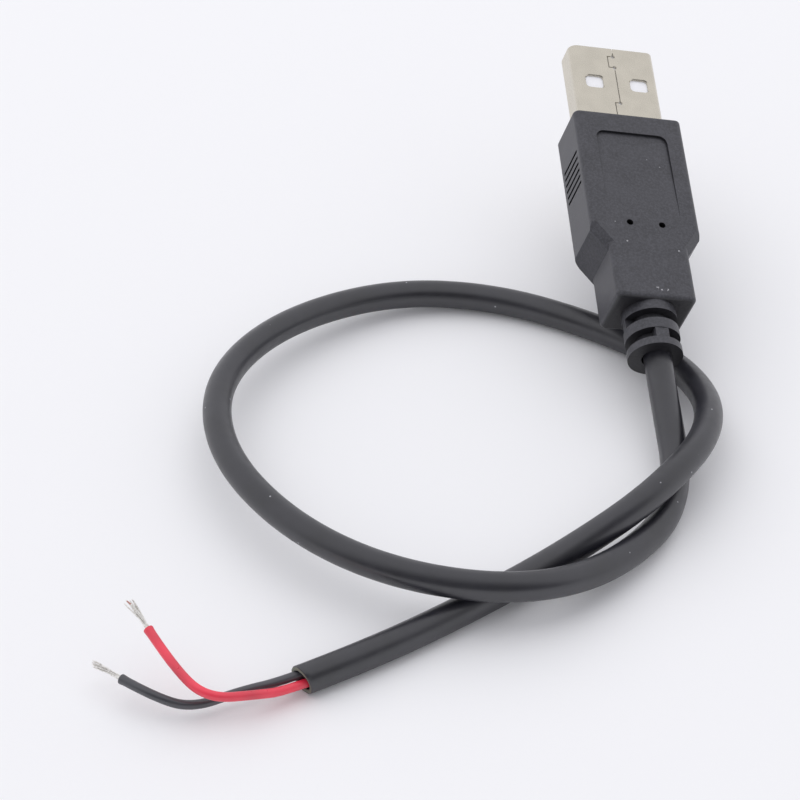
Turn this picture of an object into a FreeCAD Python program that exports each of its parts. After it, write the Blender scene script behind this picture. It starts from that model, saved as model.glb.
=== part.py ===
import FreeCAD, Part
import math
import os

import Sketcher
from FreeCAD import Placement, Rotation, Vector

# USB power cable: a flat plug with a folded steel shell, moulded onto a short round two-core cord
# whose far end is cut, with a red and a black wire stripped for soldering.
#
# Row frame: millimetres, +Z up, origin at the centre of the plug's open end, +Y roughly along the
# plug towards its open end, +X to the right of it. The cord lies on a surface rest_height below.
# Every plug piece is modelled in the plug's own frame, where +Y runs back from the open end to the
# cord, +Z out of the face that carries the shell's seam and +X to the left of the plug seen from
# behind, and is then turned to the pose in which the stiff cord holds the plug.

SIZES = {
    # pose of the plug and the surface under the cord
    "yaw": 5.0, "pitch": 16.5, "roll": 13.5, "rest_height": 21.0,
    # folded steel shell
    "shell_width": 12.0, "shell_height": 4.5, "shell_wall": 0.3, "shell_corner": 1.1,
    "shell_exposed": 12.8, "shell_seated": 5.6,
    "seam_gap": 0.13, "seam_hole_radius": 0.28, "seam_first_hole": 1.4, "seam_tab_length": 1.9,
    "seam_tab_width": 0.8, "seam_jog_from_tip": 9.5, "seam_jog_width": 0.7,
    "window_width": 2.5, "window_length": 2.0, "window_from_tip": 5.05, "window_spacing": 6.3,
    "window_corner": 0.55, "window_rim": 0.12,
    # insulator with its tongue, and the four contacts
    "fit_gap": 0.02, "tongue_thickness": 1.84, "tongue_setback": 0.5, "cavity_depth": 11.4,
    "carrier_length": 15.6, "contact_width": 1.0, "contact_thickness": 0.3, "contact_proud": 0.1,
    "power_contact_x": 3.5, "data_contact_x": 1.0, "power_contact_setback": 1.2,
    "data_contact_setback": 2.2, "contact_tail": 2.6,
    # moulded parts
    "inner_mould_width": 13.0, "inner_mould_height": 6.0, "inner_mould_front": 15.2,
    "inner_mould_corner": 0.8, "jacket_grip": 1.4,
    "body_width": 15.0, "body_thickness": 7.9, "body_length": 19.4, "shoulder_inset": 2.1,
    "shoulder_length": 3.0, "shoulder_bevel": 1.0, "neck_length": 7.5,
    "long_edge_radius": 0.85, "front_edge_radius": 0.4, "rear_edge_radius": 0.6,
    "panel_width": 9.9, "panel_length": 14.2, "panel_setback": 3.2, "panel_depth": 0.35,
    "panel_corner": 1.2, "pin_hole_radius": 0.45, "pin_hole_spacing": 4.4, "pin_hole_setback": 18.2,
    "pin_hole_depth": 0.8,
    "grip_groove_count": 6, "grip_groove_pitch": 1.0, "grip_groove_width": 0.4,
    "grip_groove_depth": 0.35, "grip_groove_height": 5.2, "grip_groove_setback": 6.1,
    "relief_radius": 3.55, "relief_ring": 1.5, "relief_last_ring": 1.05, "relief_slot": 1.4,
    "relief_sleeve_wall": 0.5, "relief_top_bridge": 1.75, "relief_side_bridge": 0.9,
    "relief_sunk": 0.15,
    # cord, cores and stripped wires
    "cord_diameter": 3.6, "jacket_wall": 0.55, "jacket_first_run": 5.0,
    "core_diameter": 1.1, "core_spread": 0.6, "core_lean": 35.0, "core_seat": 10.0,
    "wire_first_run": 2.0, "conductor_seat": 2.0, "bundle_radius": 0.32,
    "strand_diameter": 0.18, "strand_ring": 0.2, "strand_root": 0.5, "strand_step": 0.2,
    "strand_fan": 3.0, "strand_fan_change": 1.8, "strand_fan_phase": 120.0, "stripped_length": 4.0,
    # leads and solder joints inside the plug
    "lead_span": 8.4, "lead_bare": 1.9, "lead_gap": 0.4, "lead_straight": 1.2,
    "solder_width": 1.5, "solder_length": 1.8, "solder_height": 1.3, "solder_overlap": 0.15,
}

# The cord's route after its first run straight out of the strain relief: points that its straight
# runs meet at, as right, away and height above the surface. It goes down to the surface, under the
# last strand, over itself, once round to the left, back under the plug's neck, over its first
# strand and under the second, and ends flat on the surface.
CORD_ROUTE = [
    (6.2, -68.5, 1.8), (-2.3, -80.9, 2.9), (-13.9, -88.1, 5.7), (-28.9, -85.6, 6.0),
    (-41.3, -77.2, 6.0), (-50.0, -64.1, 5.9), (-51.3, -49.8, 5.5), (-44.1, -37.1, 4.5),
    (-30.4, -27.9, 2.6), (-16.0, -27.6, 1.8), (-2.1, -34.2, 1.8), (8.8, -42.8, 1.8),
    (11.2, -58.6, 6.1), (2.9, -72.1, 6.9), (-8.9, -79.1, 2.7), (-20.8, -87.2, 1.8),
    (-31.6, -94.3, 1.8), (-39.1, -98.3, 1.8),
]
# The wires beyond the jacket's cut end, from a first run straight out of it to the end of their
# insulation, in the same three measures.
RED_ROUTE = [
    (-44.2, -101.8, 3.0), (-49.2, -103.6, 4.3), (-52.9, -100.2, 4.8), (-56.5, -94.6, 6.2),
]
BLACK_ROUTE = [
    (-45.9, -100.1, 1.9), (-51.3, -102.4, 1.5), (-55.5, -102.2, 3.1), (-59.4, -99.2, 2.9),
]
# How close a measure must come to count as the same: millimetres, and a share of a volume
SAME_PLACE = 0.01
SAME_VOLUME = 0.002

doc = FreeCAD.newDocument("usb_power_cable")
sheet = doc.addObject("Spreadsheet::Sheet", "sizes")
for row, (alias, value) in enumerate(SIZES.items(), start=1):
    sheet.set(f"A{row}", alias)
    sheet.set(f"B{row}", str(value))
    sheet.setAlias(f"B{row}", alias)
doc.recompute()


def cells(expression):
    """Writes @name as sizes.name, so that an expression stays short."""
    return expression.replace("@", "sizes.")


def size_of(expression):
    """Number that an expression of the sheet comes to."""
    return float(sheet.evalExpression(cells(expression)))


def place(thing, x="0", y="0", z="0"):
    """Ties the position of an unturned object to expressions."""
    for axis, expression in zip("xyz", (x, y, z)):
        thing.setExpression(f"Placement.Base.{axis}", cells(expression))
    return thing


def block(name, width, length, height, x="0", y="0", z="0"):
    """Box centred on x and z that starts at y and runs back, all given as expressions."""
    box = doc.addObject("Part::Box", name)
    for key, expression in (("Length", width), ("Width", length), ("Height", height)):
        box.setExpression(key, cells(expression))
    return place(box, f"({x}) - ({width}) / 2", y, f"({z}) - ({height}) / 2")


def rod(name, radius, length, x="0", y="0", z="0"):
    """Cylinder along Y that starts at y and runs back."""
    cylinder = doc.addObject("Part::Cylinder", name)
    cylinder.setExpression("Radius", cells(radius))
    cylinder.setExpression("Height", cells(length))
    cylinder.Placement = Placement(Vector(), Rotation(Vector(1, 0, 0), -90))
    return place(cylinder, x, y, z)


def upright(name, radius, height, x="0", y="0", z="0"):
    """Cylinder along Z that starts at z."""
    cylinder = doc.addObject("Part::Cylinder", name)
    cylinder.setExpression("Radius", cells(radius))
    cylinder.setExpression("Height", cells(height))
    return place(cylinder, x, y, z)


def fuse(name, pieces):
    """One solid made of several."""
    result = doc.addObject("Part::MultiFuse", name)
    result.Shapes = pieces
    return result


def cut(name, base, tools):
    """Base with every tool taken away, one after the other."""
    result = base
    for number, tool in enumerate(tools, start=1):
        step = doc.addObject("Part::Cut", name if number == len(tools) else f"{name}_{number}")
        step.Base, step.Tool = result, tool
        result = step
    return result


def plane(body, role):
    """One of a body's own origin planes."""
    return next(feature for feature in body.Origin.OriginFeatures if feature.Role == role)


def new_sketch(body, name, role):
    """Sketch on one of a body's own origin planes."""
    sketch = body.newObject("Sketcher::SketchObject", name)
    sketch.AttachmentSupport = [(plane(body, role), "")]
    sketch.MapMode = "FlatFace"
    return sketch


def bound(sketch, constraint, expression):
    """Adds a driving constraint and ties its value to an expression."""
    index = sketch.addConstraint(constraint)
    sketch.setExpression(f"Constraints[{index}]", cells(expression))


def rounded_rectangle(sketch, width, height, corner):
    """Closed outline centred on the sketch's origin: four lines joined by four tangent arcs."""
    half_w, half_h = size_of(width) / 2, size_of(height) / 2
    radius = size_of(corner)
    right, top = half_w - radius, half_h - radius
    runs = [((-right, -half_h), (right, -half_h)), ((half_w, -top), (half_w, top)),
            ((right, half_h), (-right, half_h)), ((-half_w, top), (-half_w, -top))]
    centres = [(right, -top), (right, top), (-right, top), (-right, -top)]
    for number, ((x0, y0), (x1, y1)) in enumerate(runs):
        sketch.addGeometry(Part.LineSegment(Vector(x0, y0, 0), Vector(x1, y1, 0)), False)
        circle = Part.Circle(Vector(*centres[number], 0), Vector(0, 0, 1), radius)
        start = math.radians(90 * number - 90)
        sketch.addGeometry(Part.ArcOfCircle(circle, start, start + math.pi / 2), False)
    for number in range(4):
        line, arc, following = 2 * number, 2 * number + 1, (2 * number + 2) % 8
        sketch.addConstraint(Sketcher.Constraint("Tangent", line, 2, arc, 1))
        sketch.addConstraint(Sketcher.Constraint("Tangent", arc, 2, following, 1))
        sketch.addConstraint(Sketcher.Constraint("Horizontal" if number % 2 == 0 else "Vertical", line))
        if number:
            sketch.addConstraint(Sketcher.Constraint("Equal", 1, arc))
    sketch.addConstraint(Sketcher.Constraint("Symmetric", 1, 3, 5, 3, -1, 1))
    bound(sketch, Sketcher.Constraint("Radius", 1, radius), corner)
    bound(sketch, Sketcher.Constraint("DistanceX", 6, 1, 2, 1, 2 * half_w), width)
    bound(sketch, Sketcher.Constraint("DistanceY", 0, 1, 4, 1, 2 * half_h), height)


def rounded_bar(name, width, height, corner, length, x="0", y="0", z="0"):
    """Bar with a rounded rectangular section that starts at y and runs back along Y."""
    body = doc.addObject("PartDesign::Body", name)
    sketch = new_sketch(body, name + "_section", "XZ_Plane")
    rounded_rectangle(sketch, width, height, corner)
    pad = body.newObject("PartDesign::Pad", name + "_pad")
    pad.Profile = sketch
    pad.Reversed = True
    pad.setExpression("Length", cells(length))
    return place(body, x, y, z)


def rounded_plate(name, width, length, corner, height, x="0", y="0", z="0"):
    """Plate with rounded corners in plan, its middle at x and y, that rises from z."""
    body = doc.addObject("PartDesign::Body", name)
    sketch = new_sketch(body, name + "_plan", "XY_Plane")
    rounded_rectangle(sketch, width, length, corner)
    pad = body.newObject("PartDesign::Pad", name + "_pad")
    pad.Profile = sketch
    pad.setExpression("Length", cells(height))
    return place(body, x, y, z)


def edges_where(shape, test):
    """Names of a shape's edges whose middle and direction pass a test."""
    names = []
    for number, edge in enumerate(shape.Edges, start=1):
        middle = edge.valueAt((edge.FirstParameter + edge.LastParameter) / 2)
        run = edge.valueAt(edge.LastParameter) - edge.valueAt(edge.FirstParameter)
        if test(middle, run):
            names.append(f"Edge{number}")
    return names


def dress(body, kind, name, base, test, radius):
    """Fillet or chamfer on the edges that pass a test."""
    feature = body.newObject(kind, name)
    feature.Base = (base, edges_where(base.Shape, test))
    feature.setExpression("Size" if kind.endswith("Chamfer") else "Radius", cells(radius))
    doc.recompute()
    return feature


# Places along the plug, behind its open end
BODY_FRONT = "@shell_exposed"
SHOULDER = "(@shell_exposed + @body_length)"
NECK = "(@shell_exposed + @body_length + @shoulder_length)"
NECK_REAR = "(@shell_exposed + @body_length + @shoulder_length + @neck_length)"
RELIEF_START = f"({NECK_REAR} - @relief_sunk)"
RELIEF_LENGTH = "(2 * @relief_ring + 2 * @relief_slot + @relief_last_ring)"
CORD_EXIT = f"({RELIEF_START} + {RELIEF_LENGTH})"
TAIL_END = "(@carrier_length + @contact_tail)"
JACKET_START = f"({TAIL_END} + @lead_span)"
# Levels across it
INNER_WIDTH = "(@shell_width - 2 * @shell_wall - 2 * @fit_gap)"
INNER_HEIGHT = "(@shell_height - 2 * @shell_wall - 2 * @fit_gap)"
TONGUE_FACE = f"({INNER_HEIGHT} / 2 - @tongue_thickness)"
CONTACT_LEVEL = f"({TONGUE_FACE} - @contact_proud + @contact_thickness / 2)"
LEAD_LEVEL = f"({CONTACT_LEVEL} + @contact_thickness / 2 + @bundle_radius)"


def window_rim(name, x, level, turn):
    """Tool that bevels a window's edge in the face at the given level, turned to face out of it."""
    rim = rounded_plate(name, "@window_width", "@window_length", "@window_corner", "2 * @window_rim")
    pad = rim.Tip
    pad.TaperAngle = 45
    rim.Placement = Placement(Vector(), Rotation(Vector(0, 1, 0), turn))
    inwards = "-" if turn == 0 else "+"
    return place(rim, x, "@window_from_tip + @window_length / 2", f"{level} {inwards} @window_rim")


def shell_form():
    """Folded sheet: a rounded tube, two windows through both wide faces, and a locked seam."""
    whole = "@shell_exposed + @shell_seated"
    outer = rounded_bar("shell_envelope", "@shell_width", "@shell_height", "@shell_corner", whole)
    inner = rounded_bar("shell_inside", "@shell_width - 2 * @shell_wall",
                        "@shell_height - 2 * @shell_wall", "@shell_corner - @shell_wall",
                        f"{whole} + 2", y="-1")
    windows = [
        rounded_plate(f"window_{side}", "@window_width", "@window_length", "@window_corner",
                      "2 * @shell_height", x=f"{sign} * @window_spacing / 2",
                      y="@window_from_tip + @window_length / 2", z="-@shell_height")
        for side, sign in (("right", -1), ("left", 1))]
    tab_end = "@seam_first_hole + @seam_tab_length"
    rims = [window_rim(f"window_rim_{side}_{face}", f"{sign} * @window_spacing / 2", level, turn)
            for side, sign in (("right", -1), ("left", 1))
            for face, level, turn in (("seam", "@shell_height / 2", 0),
                                      ("plain", "-@shell_height / 2", 180))]
    along = [("lip", "0", "-1", "@seam_first_hole + 1"),
             ("tab", "@seam_tab_width", "@seam_first_hole", "@seam_tab_length"),
             ("run", "0", tab_end, f"@seam_jog_from_tip - ({tab_end})"),
             ("rear", "@seam_jog_width", "@seam_jog_from_tip", f"{whole} + 1 - @seam_jog_from_tip")]
    across = [("tab_front", "@seam_tab_width", "@seam_first_hole"),
              ("tab_rear", "@seam_tab_width", tab_end),
              ("jog", "@seam_jog_width", "@seam_jog_from_tip")]
    depth, level = "@shell_wall * 3", "@shell_height / 2"
    slits = [block(f"seam_{name}", "@seam_gap", length, depth, x=x, y=y, z=level)
             for name, x, y, length in along]
    slits += [block(f"seam_{name}", f"{width} + @seam_gap", "@seam_gap", depth,
                    x=f"{width} / 2", y=f"{y} - @seam_gap / 2", z=level)
              for name, width, y in across]
    slits += [upright(f"seam_{name}_hole", "@seam_hole_radius", depth, y=y, z=f"{level} - {depth} / 2")
              for name, y in (("front", "@seam_first_hole"), ("middle", tab_end),
                              ("rear", "@seam_jog_from_tip"))]
    return outer, cut("shell_form", outer, [inner] + windows + rims + slits)


def contact_form(name, x, setback):
    """Flat strip in the tongue's face, from behind its nose to the tail it is soldered at."""
    return block(name, "@contact_width", f"{TAIL_END} - @{setback}", "@contact_thickness",
                 x=x, y=f"@{setback}", z=CONTACT_LEVEL)


def carrier_form(contacts):
    """Insulator: a tongue against the seam face and a block that fills the shell behind it."""
    corner = "@shell_corner - @shell_wall"
    tongue = rounded_bar("tongue", INNER_WIDTH, "@tongue_thickness", corner,
                         "@carrier_length - @tongue_setback", y="@tongue_setback",
                         z=f"{INNER_HEIGHT} / 2 - @tongue_thickness / 2")
    base = rounded_bar("carrier_block", INNER_WIDTH, INNER_HEIGHT, corner,
                       "@carrier_length - @cavity_depth", y="@cavity_depth")
    return cut("carrier_form", fuse("carrier_blank", [tongue, base]), contacts)


def bare_lead(name, x):
    """Stripped end of a core, laid along the back of a contact's tail."""
    return rod(name, "@bundle_radius", "@lead_bare", x=x,
               y=f"{TAIL_END} + @lead_gap - @lead_bare", z=LEAD_LEVEL)


def lead_form(name, side):
    """Insulated core inside the plug: out of the jacket's end, across, and up to its tail."""
    x = size_of("@power_contact_x") * side
    level = size_of(LEAD_LEVEL)
    front, back = size_of(f"{TAIL_END} + @lead_gap"), size_of(JACKET_START)
    straight = size_of("@lead_straight")
    points = [Vector(size_of("@core_spread") * side, back, 0),
              Vector(size_of("@core_spread") * side, back - straight, 0),
              Vector(x, front + straight, level), Vector(x, front, level)]
    feature = doc.addObject("Part::Feature", name)
    feature.Shape = tube(name, points, size_of("@core_diameter") / 2)
    return feature


def solder_form(name, x, tools):
    """Drop of solder round a contact's tail and the stripped core on it."""
    drop = doc.addObject("Part::Ellipsoid", name + "_drop")
    for key, expression in (("Radius1", "@solder_height / 2"), ("Radius2", "@solder_width / 2"),
                            ("Radius3", "@solder_length / 2")):
        drop.setExpression(key, cells(expression))
    place(drop, x, f"{TAIL_END} + @lead_gap - @lead_bare / 2",
          f"{LEAD_LEVEL} - @bundle_radius + @solder_height / 2 - @solder_overlap")
    return cut(name, drop, tools)


def panel_tool():
    """Thumb panel: a rounded recess that is deepest at its front and runs out at its rear."""
    middle = f"{BODY_FRONT} + @panel_setback + @panel_length / 2"
    prism = rounded_plate("panel_plan", "@panel_width", "@panel_length", "@panel_corner",
                          "2 * @panel_depth", y=middle, z="@body_thickness / 2 - @panel_depth")
    wedge = doc.addObject("Part::Wedge", "panel_wedge")
    for key, expression in (
            ("Xmin", "-@panel_width"), ("Xmax", "@panel_width"), ("X2min", "-@panel_width"),
            ("X2max", "@panel_width"), ("Ymin", "0"), ("Ymax", "@panel_length"),
            ("Zmin", "0"), ("Zmax", "2 * @panel_depth"), ("Z2min", "@panel_depth"),
            ("Z2max", "2 * @panel_depth")):
        wedge.setExpression(key, cells(expression))
    place(wedge, "0", f"{BODY_FRONT} + @panel_setback", "@body_thickness / 2 - @panel_depth")
    result = doc.addObject("Part::Common", "panel_recess")
    result.Base, result.Tool = prism, wedge
    return result


def grip_tools():
    """Grooves across both sides for the fingers."""
    tools = []
    for number in range(int(size_of("@grip_groove_count"))):
        y = f"{BODY_FRONT} + @grip_groove_setback + {number} * @grip_groove_pitch"
        for side, sign in (("right", -1), ("left", 1)):
            tools.append(block(f"grip_{side}_{number + 1}", "2 * @grip_groove_depth",
                               "@grip_groove_width", "@grip_groove_height",
                               x=f"{sign} * @body_width / 2", y=f"{y} - @grip_groove_width / 2"))
    return tools


def outline_sketch(body):
    """Plan of the moulded body and neck: straight sides, slanted shoulders, straight neck."""
    sketch = new_sketch(body, "body_plan", "XY_Plane")
    half, neck = "@body_width / 2", "@body_width / 2 - @shoulder_inset"
    corners = [(half, BODY_FRONT), (half, SHOULDER), (neck, NECK), (neck, NECK_REAR)]
    ring = [(size_of(x), size_of(y)) for x, y in corners]
    ring += [(-x, y) for x, y in reversed(ring)]
    for number, (x, y) in enumerate(ring):
        following = ring[(number + 1) % len(ring)]
        sketch.addGeometry(Part.LineSegment(Vector(x, y, 0), Vector(*following, 0)), False)
    for number in range(len(ring)):
        sketch.addConstraint(
            Sketcher.Constraint("Coincident", number, 2, (number + 1) % len(ring), 1))
    for number, (x, y) in enumerate(corners):
        mirrored = len(ring) - 1 - number
        sketch.addConstraint(Sketcher.Constraint("Symmetric", number, 1, mirrored, 1, -2))
        bound(sketch, Sketcher.Constraint("DistanceX", -1, 1, number, 1, size_of(x)), x)
        bound(sketch, Sketcher.Constraint("DistanceY", -1, 1, number, 1, size_of(y)), y)
    return sketch


def body_form():
    """Moulded body and neck as one block: bevelled shoulders, then rounded long and end edges."""
    body = doc.addObject("PartDesign::Body", "body_block")
    pad = body.newObject("PartDesign::Pad", "body_pad")
    pad.Profile = outline_sketch(body)
    pad.SideType = "Symmetric"
    pad.setExpression("Length", cells("@body_thickness"))
    doc.recompute()
    level, front, rear = (size_of(v) for v in ("@body_thickness / 2", BODY_FRONT, NECK_REAR))

    def on_shoulder(middle, run):
        return abs(middle.z - level) < SAME_PLACE and min(abs(run.x), abs(run.y)) > SAME_PLACE

    def lengthwise(middle, run):
        in_wide_face = abs(abs(middle.z) - level) < SAME_PLACE
        return in_wide_face and abs(run.x) < SAME_PLACE and abs(run.y) > level

    bevel = dress(body, "PartDesign::Chamfer", "shoulder_bevels", pad, on_shoulder,
                  "@shoulder_bevel")
    sides = dress(body, "PartDesign::Fillet", "long_edges", bevel, lengthwise, "@long_edge_radius")
    ends = dress(body, "PartDesign::Fillet", "front_edges", sides,
                 lambda middle, run: abs(middle.y - front) < SAME_PLACE, "@front_edge_radius")
    dress(body, "PartDesign::Fillet", "rear_edges", ends,
          lambda middle, run: abs(middle.y - rear) < SAME_PLACE, "@rear_edge_radius")
    return body


def relief_forms():
    """Strain relief: a sleeve, three rings, and bridges that join them at the sides, then above."""
    forms = [rod("relief_sleeve", "@cord_diameter / 2 + @relief_sleeve_wall",
                 f"{RELIEF_LENGTH} + @neck_length / 2", y=f"{RELIEF_START} - @neck_length / 2")]
    step = "(@relief_ring + @relief_slot)"
    for number, ring in enumerate(("@relief_ring", "@relief_ring", "@relief_last_ring")):
        forms.append(rod(f"relief_ring_{number + 1}", "@relief_radius", ring,
                         y=f"{RELIEF_START} + {number} * {step}"))
    first = f"{RELIEF_START} + @relief_ring"
    forms.append(block("relief_side_bridges",
                       "2 * sqrt(@relief_radius ^ 2 - @relief_side_bridge ^ 2 / 4)",
                       "@relief_slot", "@relief_side_bridge", y=first))
    forms.append(block("relief_top_bridges", "@relief_top_bridge", "@relief_slot",
                       "2 * sqrt(@relief_radius ^ 2 - @relief_top_bridge ^ 2 / 4)",
                       y=f"{first} + {step}"))
    return forms


def route_edges(points):
    """Straight runs joined by tangent arcs: each arc takes 0.45 of its shorter run."""
    edges, radii, start = [], [], points[0]
    for before, corner, after in zip(points, points[1:], points[2:]):
        into, out = corner - before, after - corner
        turn = into.getAngle(out)
        reach = 0.45 * min(into.Length, out.Length)
        radius = reach / math.tan(turn / 2)
        into.normalize()
        out.normalize()
        first, last = corner - into * reach, corner + out * reach
        inwards = out - into
        inwards.normalize()
        middle = corner + inwards * (radius / math.cos(turn / 2) - radius)
        edges += [Part.LineSegment(start, first).toShape(), Part.Arc(first, middle, last).toShape()]
        radii.append(round(radius, 1))
        start = last
    edges.append(Part.LineSegment(start, points[-1]).toShape())
    return edges, radii


def tube(name, points, radius, lead_in=0.0):
    """Round solid along a route, with an optional straight lead-in before its first point."""
    edges, radii = route_edges(points)
    begin = points[0]
    if lead_in:
        run = points[1] - points[0]
        run.normalize()
        begin = points[0] - run * lead_in
        edges[0] = Part.LineSegment(begin, edges[0].valueAt(edges[0].LastParameter)).toShape()
    path = Part.Wire(edges)
    section = Part.Wire(Part.makeCircle(radius, begin, points[1] - points[0]))
    solid = path.makePipeShell([section], True, False)
    expected = math.pi * radius ** 2 * path.Length
    print(f"{name}: length {path.Length:.1f}, radii {radii}, volume {solid.Volume / expected:.4f}")
    if abs(solid.Volume / expected - 1) > SAME_VOLUME:
        raise ValueError(f"{name}: its volume isn't its section times its length")
    return solid


def on_surface(points):
    """Points given as right, away and height above the surface, in the row frame."""
    return [Vector(x, y, height - size_of("@rest_height")) for x, y, height in points]


def cord_shapes(pose):
    """Jacket from inside the plug to its cut end, the wires beyond it and their stripped strands."""
    radius, core_radius = size_of("@cord_diameter / 2"), size_of("@core_diameter / 2")
    leave = pose.multVec(Vector(0, size_of(CORD_EXIT), 0))
    straight = pose.multVec(Vector(0, size_of(f"{CORD_EXIT} + @jacket_first_run"), 0))
    route = [leave, straight] + on_surface(CORD_ROUTE)
    jacket = tube("cord_jacket", route, radius, lead_in=size_of(f"{CORD_EXIT} - {JACKET_START}"))
    end = route[-1]
    along = route[-1] - route[-2]
    along.normalize()
    seat = size_of("@core_seat")
    bore = Part.makeCylinder(radius - size_of("@jacket_wall"), seat + 1, end - along * seat, along)
    shapes = {"cord_jacket": jacket.cut(bore)}
    lean = math.radians(size_of("@core_lean"))
    aside = Vector(0, 0, 1).cross(along) * -math.cos(lean) + Vector(0, 0, 1) * math.sin(lean)
    for colour, side, tail in (("red", -1, RED_ROUTE), ("black", 1, BLACK_ROUTE)):
        offset = aside * (side * size_of("@core_spread"))
        begin = end - along * seat + offset
        points = [begin, end + along * size_of("@wire_first_run") + offset] + on_surface(tail)
        core = tube(f"{colour}_wire", points, core_radius)
        tip = points[-1]
        aim = points[-1] - points[-2]
        aim.normalize()
        hole = size_of("@conductor_seat")
        bundle = size_of("@bundle_radius")
        root = Part.makeCylinder(bundle, hole, tip - aim * hole, aim)
        shapes[f"{colour}_wire"] = core.cut(root)
        shapes[f"{colour}_strands"] = strands(root, tip, aim)
    return shapes


def strands(root, tip, aim):
    """Stripped conductor: a root in the insulation and seven strands that fan out of it."""
    ring, overlap = size_of("@strand_ring"), size_of("@strand_root")
    radius, length = size_of("@strand_diameter / 2"), size_of("@stripped_length")
    across = aim.cross(Vector(0, 0, 1))
    across.normalize()
    upward = across.cross(aim)
    bundle = [Part.makeCylinder(radius, length + overlap, tip - aim * overlap, aim)]
    for number in range(6):
        angle = math.radians(60 * number)
        outward = across * math.cos(angle) + upward * math.sin(angle)
        change = math.sin(number * math.radians(size_of("@strand_fan_phase")))
        spread = math.radians(size_of("@strand_fan") + size_of("@strand_fan_change") * change)
        way = aim * math.cos(spread) + outward * math.sin(spread)
        foot = tip - aim * overlap + outward * (ring - overlap * math.sin(spread))
        reach = length + overlap - number * size_of("@strand_step")
        bundle.append(Part.makeCylinder(radius, reach, foot, way))
    return root.multiFuse(bundle)


def node(name, form, pose):
    """Sub-part in the row frame: the form turned to the plug's pose."""
    placed = doc.addObject("Part::Compound", name)
    placed.Links = [form]
    placed.Placement = pose
    placed.Label = name
    return placed


def build():
    """Makes every sub-part and gives them by name."""
    turn = Rotation(size_of("@yaw"), 0, 0)
    turn *= Rotation(Vector(1, 0, 0), size_of("@pitch"))
    turn *= Rotation(Vector(0, 1, 0), size_of("@roll"))
    pose = Placement(Vector(), turn * Rotation(Vector(0, 0, 1), 180))
    envelope, shell = shell_form()
    contacts = {
        "vbus_contact": contact_form("vbus_strip", "-@power_contact_x", "power_contact_setback"),
        "data_minus_contact": contact_form("minus_strip", "-@data_contact_x", "data_contact_setback"),
        "data_plus_contact": contact_form("plus_strip", "@data_contact_x", "data_contact_setback"),
        "ground_contact": contact_form("ground_strip", "@power_contact_x", "power_contact_setback"),
    }
    forms = {"plug_shell": shell, "contact_carrier": carrier_form(list(contacts.values()))}
    forms.update(contacts)
    doc.recompute()
    for colour, side, contact in (("red", -1, "vbus_contact"), ("black", 1, "ground_contact")):
        x = f"{side} * @power_contact_x"
        lead = lead_form(f"{colour}_lead_form", side)
        bare = bare_lead(f"{colour}_bare_form", x)
        forms[f"{colour}_lead"] = lead
        forms[f"{colour}_lead_conductor"] = bare
        forms[f"{colour}_solder_joint"] = solder_form(
            f"{colour}_solder_form", x, [contacts[contact], bare, lead])
    bore = rod("cord_bore", "@cord_diameter / 2", f"{CORD_EXIT} - {JACKET_START} + 1", y=JACKET_START)
    inner_blank = rounded_bar("inner_mould_blank", "@inner_mould_width", "@inner_mould_height",
                              "@inner_mould_corner",
                              f"{JACKET_START} + @jacket_grip - @inner_mould_front",
                              y="@inner_mould_front")
    shell_front = rounded_bar("shell_front", "@shell_width", "@shell_height", "@shell_corner",
                              "@carrier_length")
    inside = [form for name, form in forms.items() if name != "contact_carrier"]
    forms["inner_mould"] = cut("inner_mould_form", inner_blank, inside + [shell_front, bore])
    blank = fuse("overmould_blank", [body_form()] + relief_forms())
    pin_holes = [upright(f"pin_hole_{side}", "@pin_hole_radius", "@pin_hole_depth + 1",
                         x=f"{sign} * @pin_hole_spacing / 2", y=f"{BODY_FRONT} + @pin_hole_setback",
                         z="@body_thickness / 2 - @pin_hole_depth")
                 for side, sign in (("right", -1), ("left", 1))]
    forms["overmould"] = cut("overmould_form", blank,
                             [envelope, inner_blank, bore, panel_tool()] + pin_holes + grip_tools())
    nodes = {name: node(name, form, pose) for name, form in forms.items()}
    for name, shape in cord_shapes(pose).items():
        nodes[name] = doc.addObject("Part::Feature", name)
        nodes[name].Label = name
        nodes[name].Shape = shape
    return nodes


def check_and_write(nodes):
    """Stops at a failed object or a bad shape, then writes one STEP file for each sub-part."""
    doc.recompute()
    for thing in doc.Objects:
        if "Invalid" in thing.State or "Error" in thing.State:
            raise ValueError(f"{thing.Name}: {thing.State}")
    for name, thing in nodes.items():
        shape = thing.Shape
        if shape.isNull() or not shape.isValid() or not shape.Solids:
            raise ValueError(f"{name}: its shape is null, not valid or holds no solid")
        print(f"{name}: {len(shape.Solids)} solid, {shape.Volume:.2f} mm3")
    os.makedirs("parts", exist_ok=True)
    for name, thing in nodes.items():
        solids = thing.Shape.Solids
        shape = solids[0] if len(solids) == 1 else thing.Shape
        shape.exportStep(f"parts/{name}.step")


check_and_write(build())
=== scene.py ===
import math

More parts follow.
